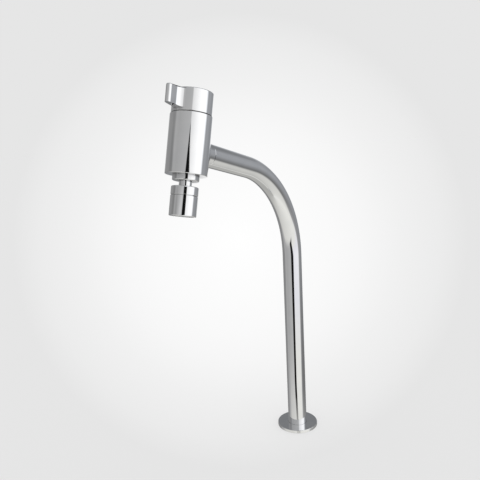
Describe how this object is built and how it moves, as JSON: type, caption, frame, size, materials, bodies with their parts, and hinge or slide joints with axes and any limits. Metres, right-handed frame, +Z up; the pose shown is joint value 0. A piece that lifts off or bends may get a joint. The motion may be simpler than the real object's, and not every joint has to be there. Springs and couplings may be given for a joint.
{
  "type": "kitchen tap",
  "caption": "Kitchen tap with a slim swivelling gooseneck spout, a quarter-turn valve with a fin handle at the spout's end, and a tilting aerator head under it.",
  "frame": {"origin": "centre of the base's underside, on the worktop", "axes": "+Z up along the column, the spout reaches towards -Y, +X to the right when facing the spout's side"},
  "size_m": [0.048, 0.2198, 0.4549],
  "materials": {
    "chrome": "bright chrome plate on brass, mirror polished",
    "brass": "turned, unplated",
    "steel": "plain stainless steel",
    "rubber": "black moulded rubber",
    "ceramic": "lapped white alumina",
    "fibre": "pressed fibre",
    "aerator_plastic": "moulded, pale grey",
    "acetal": "machined acetal, off-white"
  },
  "bodies": {
    "base": {"mounting_shank": "brass", "base_cover": "chrome", "base_gasket": "rubber", "clamp_gasket": "rubber", "clamp_washer": "steel", "backnut": "brass", "slip_rings": "acetal", "swivel_seals": "rubber", "snap_ring": "steel", "thrust_ring": "acetal"},
    "spout": {"gooseneck_tube": "chrome", "swivel_bush": "brass", "tube_nipple": "brass", "nipple_seal": "rubber", "valve_body": "chrome", "cartridge_housing": "brass", "neck_washer": "fibre", "seat_seal": "rubber", "fixed_disc": "ceramic", "outlet_collar": "chrome", "collar_gasket": "fibre", "stem_washer": "acetal"},
    "handle": {"spindle": "brass", "spindle_seals": "rubber", "spindle_washer": "acetal", "moving_disc": "ceramic", "stop_ring": "brass", "spindle_clip": "steel", "handle_adapter": "brass", "adapter_screw": "steel", "handle_cap": "chrome", "grub_screw": "steel"},
    "outlet_stem": {"ball_stem": "chrome", "stem_seal": "rubber"},
    "ball_seat": {"ball_seat": "acetal"},
    "spray_head": {"socket_ring": "chrome", "head_barrel": "chrome", "head_washer": "rubber", "aerator_insert": "aerator_plastic", "aerator_screens": "steel", "jet_plate": "aerator_plastic", "flow_regulator": "aerator_plastic", "regulator_ring": "rubber"}
  },
  "joints": [
    {"name": "spout_swivel", "type": "hinge", "parent": "base", "child": "spout", "pos_m": [0, 0, 0], "axis": [0, 0, 1], "continuous": true},
    {"name": "handle_turn", "type": "hinge", "parent": "spout", "child": "handle", "pos_m": [0, -0.17035, 0.34396], "axis": [0, 0.2324, 0.9726], "range_deg": [0, 90]},
    {"name": "stem_spin", "type": "hinge", "parent": "spout", "child": "outlet_stem", "pos_m": [0, -0.17941, 0.30602], "axis": [0, 0.2324, 0.9726], "continuous": true},
    {"name": "ball_tilt", "type": "hinge", "parent": "outlet_stem", "child": "ball_seat", "pos_m": [0, -0.17941, 0.30602], "axis": [1, 0, 0], "range_deg": [-15, 15]},
    {"name": "head_spin", "type": "hinge", "parent": "ball_seat", "child": "spray_head", "pos_m": [0, -0.17941, 0.30602], "axis": [0, 0.2324, 0.9726], "continuous": true}
  ]
}
